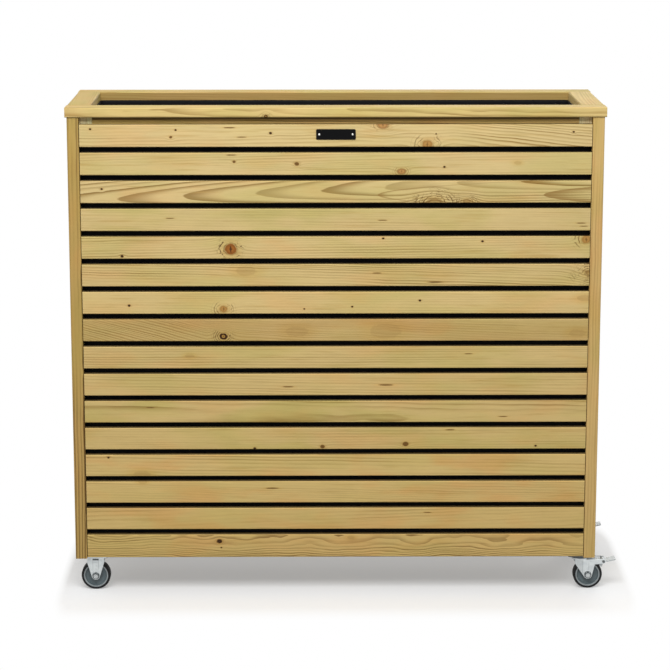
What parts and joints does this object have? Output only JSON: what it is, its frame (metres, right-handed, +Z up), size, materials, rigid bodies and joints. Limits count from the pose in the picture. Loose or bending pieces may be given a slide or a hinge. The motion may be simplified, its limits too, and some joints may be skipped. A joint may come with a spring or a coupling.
{
  "type": "rolling planter",
  "caption": "Tall slatted timber planter box with a flat rim, black liner and blank name plate, standing on fixed casters and on swivelling casters with foot brakes.",
  "frame": {"origin": "On the ground, at the middle of the footprint, with the two brake pedals that reach past the right end counted in. The middle of the box lies 24 mm to its -X side.", "axes": "+X to the right along the rim, towards the swivel casters; +Y to the back, so the front with the blank plate faces -Y; +Z up."},
  "size_m": [1.2482, 0.36, 1.124],
  "materials": {
    "slat_pine": "planed, satin",
    "post_pine": "planed, satin",
    "rim_pine": "planed, satin",
    "frame_pine": "sawn, matt",
    "membrane": "matt woven sheet",
    "liner": "dimpled sheet",
    "plate": "satin",
    "pin_steel": "domed, polished",
    "screw_steel": "zinc plated",
    "zinc_sheet": "pressed, zinc plated",
    "bolt_steel": "zinc plated",
    "ball_steel": "polished",
    "hub_plastic": "moulded",
    "tyre_rubber": "matt rubber"
  },
  "bodies": {
    "box": {"front_slat_01": "slat_pine", "front_slat_02": "slat_pine", "front_slat_03": "slat_pine", "front_slat_04": "slat_pine", "front_slat_05": "slat_pine", "front_slat_06": "slat_pine", "front_slat_07": "slat_pine", "front_slat_08": "slat_pine", "front_slat_09": "slat_pine", "front_slat_10": "slat_pine", "front_slat_11": "slat_pine", "front_slat_12": "slat_pine", "front_slat_13": "slat_pine", "front_slat_14": "slat_pine", "front_slat_15": "slat_pine", "front_slat_16": "slat_pine", "back_slats": "slat_pine", "side_slats": "slat_pine", "corner_post_front_left": "post_pine", "corner_post_front_right": "post_pine", "corner_post_back_left": "post_pine", "corner_post_back_right": "post_pine", "rim_board_front": "rim_pine", "rim_board_back": "rim_pine", "rim_board_left": "rim_pine", "rim_board_right": "rim_pine", "frame_battens": "frame_pine", "backing_membrane": "membrane", "planting_liner": "liner", "floor_boards": "frame_pine", "floor_bearers": "frame_pine", "label_plate": "plate", "label_pins": "pin_steel", "slat_screws": "screw_steel", "caster_screws": "screw_steel", "fixed_bracket_front": "zinc_sheet", "fixed_bracket_back": "zinc_sheet", "fixed_axles": "bolt_steel", "swivel_plate_front": "zinc_sheet", "swivel_plate_back": "zinc_sheet", "kingpin_front": "bolt_steel", "kingpin_back": "bolt_steel"},
    "fixed_wheel_front": {"fixed_hub_front": "hub_plastic", "fixed_tyre_front": "tyre_rubber"},
    "fork_front": {"swivel_fork_front": "zinc_sheet", "swivel_balls_front": "ball_steel", "swivel_axle_front": "bolt_steel", "pedal_pin_front": "bolt_steel"},
    "swivel_wheel_front": {"swivel_hub_front": "hub_plastic", "swivel_tyre_front": "tyre_rubber"},
    "pedal_front": {"brake_pedal_front": "zinc_sheet"},
    "fixed_wheel_back": {"fixed_hub_back": "hub_plastic", "fixed_tyre_back": "tyre_rubber"},
    "fork_back": {"swivel_fork_back": "zinc_sheet", "swivel_balls_back": "ball_steel", "swivel_axle_back": "bolt_steel", "pedal_pin_back": "bolt_steel"},
    "swivel_wheel_back": {"swivel_hub_back": "hub_plastic", "swivel_tyre_back": "tyre_rubber"},
    "pedal_back": {"brake_pedal_back": "zinc_sheet"}
  },
  "joints": [
    {"name": "fixed_wheel_spin_front", "type": "hinge", "parent": "box", "child": "fixed_wheel_front", "pos_m": [-0.57762, -0.134, 0.0335], "axis": [0, 1, 0], "continuous": true},
    {"name": "swivel_front", "type": "hinge", "parent": "box", "child": "fork_front", "pos_m": [0.54188, -0.134, 0.076], "axis": [0, 0, 1], "continuous": true},
    {"name": "swivel_wheel_spin_front", "type": "hinge", "parent": "fork_front", "child": "swivel_wheel_front", "pos_m": [0.55988, -0.134, 0.0335], "axis": [0, 1, 0], "continuous": true},
    {"name": "brake_pedal_front", "type": "hinge", "parent": "fork_front", "child": "pedal_front", "pos_m": [0.59583, -0.134, 0.06531], "axis": [0, 1, 0], "range_deg": [0, 18]},
    {"name": "fixed_wheel_spin_back", "type": "hinge", "parent": "box", "child": "fixed_wheel_back", "pos_m": [-0.57762, 0.134, 0.0335], "axis": [0, 1, 0], "continuous": true},
    {"name": "swivel_back", "type": "hinge", "parent": "box", "child": "fork_back", "pos_m": [0.54188, 0.134, 0.076], "axis": [0, 0, 1], "continuous": true},
    {"name": "swivel_wheel_spin_back", "type": "hinge", "parent": "fork_back", "child": "swivel_wheel_back", "pos_m": [0.55988, 0.134, 0.0335], "axis": [0, 1, 0], "continuous": true},
    {"name": "brake_pedal_back", "type": "hinge", "parent": "fork_back", "child": "pedal_back", "pos_m": [0.59583, 0.134, 0.06531], "axis": [0, 1, 0], "range_deg": [0, 18]}
  ]
}
